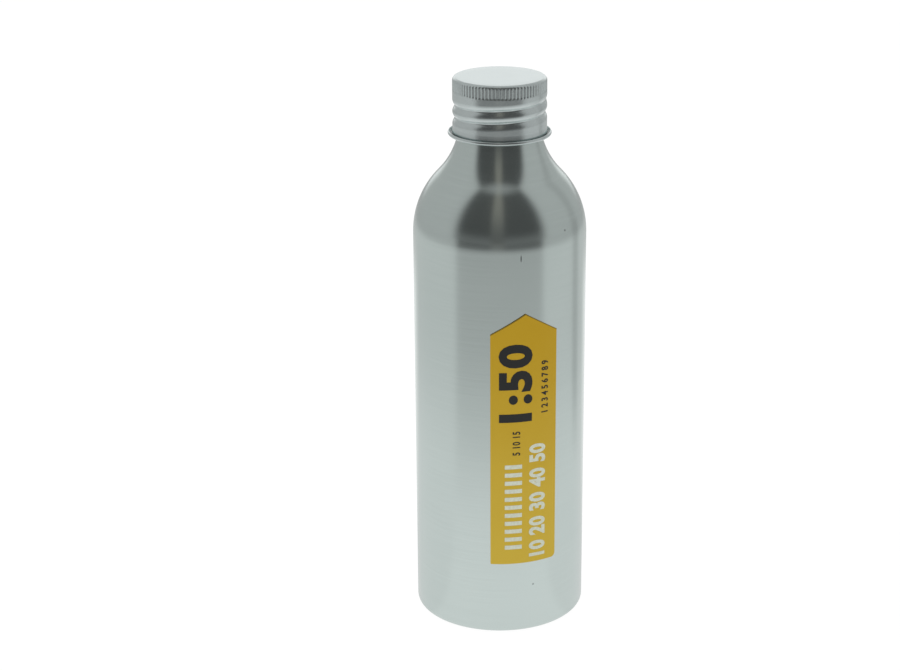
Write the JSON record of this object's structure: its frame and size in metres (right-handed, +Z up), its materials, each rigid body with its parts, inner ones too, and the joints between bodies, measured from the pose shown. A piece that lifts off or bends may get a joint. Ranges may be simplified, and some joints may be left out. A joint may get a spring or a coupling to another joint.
{
  "type": "fuel mixing bottle",
  "caption": "Slim aluminium bottle with a rolled mouth, a knurled aluminium screw cap with a sealing disc, and a yellow tag-shaped label, for measuring oil into a fuel mix.",
  "frame": {"origin": "on the table, under the bottle's axis", "axes": "+Z up the bottle's axis; the middle of the label faces -Y"},
  "size_m": [0.0448, 0.0452, 0.1463],
  "materials": {
    "bottle_body": "brushed",
    "screw_cap": "satin",
    "sealing_disc": "foam",
    "label": "satin film"
  },
  "bodies": {
    "bottle": {"bottle_body": "bottle_body", "label": "label"},
    "disc": {"sealing_disc": "sealing_disc"},
    "cap": {"screw_cap": "screw_cap"}
  },
  "joints": [
    {"name": "cap_rise", "type": "slide", "parent": "bottle", "child": "disc", "axis": [0, 0, 1], "range_m": [0, 0.0048]},
    {"name": "cap_turn", "type": "hinge", "parent": "disc", "child": "cap", "pos_m": [0, 0, 0.14], "axis": [0, 0, 1], "range_deg": [0, 540]}
  ],
  "couplings": [
    {"joint": "cap_rise", "follows": "cap_turn", "m_per_rad": 0.00050532}
  ]
}
